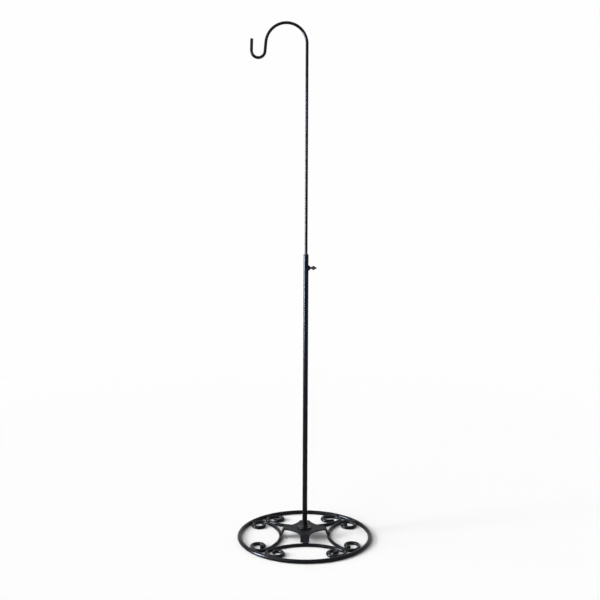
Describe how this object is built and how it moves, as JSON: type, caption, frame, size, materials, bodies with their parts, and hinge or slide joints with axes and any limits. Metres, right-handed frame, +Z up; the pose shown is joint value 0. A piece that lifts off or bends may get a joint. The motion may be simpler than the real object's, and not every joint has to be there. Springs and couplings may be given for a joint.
{
  "type": "shepherds hook",
  "caption": "Free-standing shepherd's hook for a hanging planter: a scrolled ring base carries a tube in which the hook rod slides and turns, and a wing screw clamps it.",
  "frame": {"origin": "on the floor at the centre of the base ring, on the pole's axis", "axes": "+Z up along the pole, +X towards the wing screw, +Y away from the picture's viewer; the hook reaches out along -X"},
  "size_m": [0.3048, 0.3048, 1.1381],
  "materials": {
    "black_coat": "satin black powder coat on steel bar and tube",
    "grained_coat": "dull, grainy black coat on steel sheet",
    "weld_coat": "rippled weld bead under black coat",
    "dark_screw": "dark, slightly worn coating on a cast wing screw",
    "zinc": "bright zinc plating",
    "nylon": "moulded black nylon"
  },
  "bodies": {
    "stand": {"base_ring": "black_coat", "scroll_right": "black_coat", "scroll_back": "black_coat", "scroll_left": "black_coat", "scroll_front": "black_coat", "spider_plate": "grained_coat", "pole_flange": "black_coat", "pole_stud": "zinc", "clamp_washer": "zinc", "lock_washer": "zinc", "clamp_nut": "zinc", "lower_tube": "black_coat", "top_bush": "nylon", "screw_boss": "black_coat", "ring_weld_scroll_right_left": "weld_coat", "ring_weld_scroll_right_right": "weld_coat", "ring_weld_scroll_back_left": "weld_coat", "ring_weld_scroll_back_right": "weld_coat", "ring_weld_scroll_left_left": "weld_coat", "ring_weld_scroll_left_right": "weld_coat", "ring_weld_scroll_front_left": "weld_coat", "ring_weld_scroll_front_right": "weld_coat", "scroll_weld_1": "weld_coat", "scroll_weld_2": "weld_coat", "scroll_weld_3": "weld_coat", "scroll_weld_4": "weld_coat", "leg_weld_1": "weld_coat", "leg_weld_2": "weld_coat", "leg_weld_3": "weld_coat", "leg_weld_4": "weld_coat"},
    "guide": {"rod_guide": "nylon"},
    "hook": {"hook_rod": "black_coat"},
    "screw": {"thumb_screw": "dark_screw"}
  },
  "joints": [
    {"name": "rod_height", "type": "slide", "parent": "stand", "child": "guide", "axis": [0, 0, 1], "range_m": [-0.44, 0.045]},
    {"name": "rod_swivel", "type": "hinge", "parent": "guide", "child": "hook", "pos_m": [0, 0, 0.5575], "axis": [0, 0, 1], "continuous": true},
    {"name": "screw_turn", "type": "hinge", "parent": "stand", "child": "screw", "pos_m": [0.0122, 0, 0.6164], "axis": [1, 0, 0], "range_deg": [0, 450]}
  ]
}
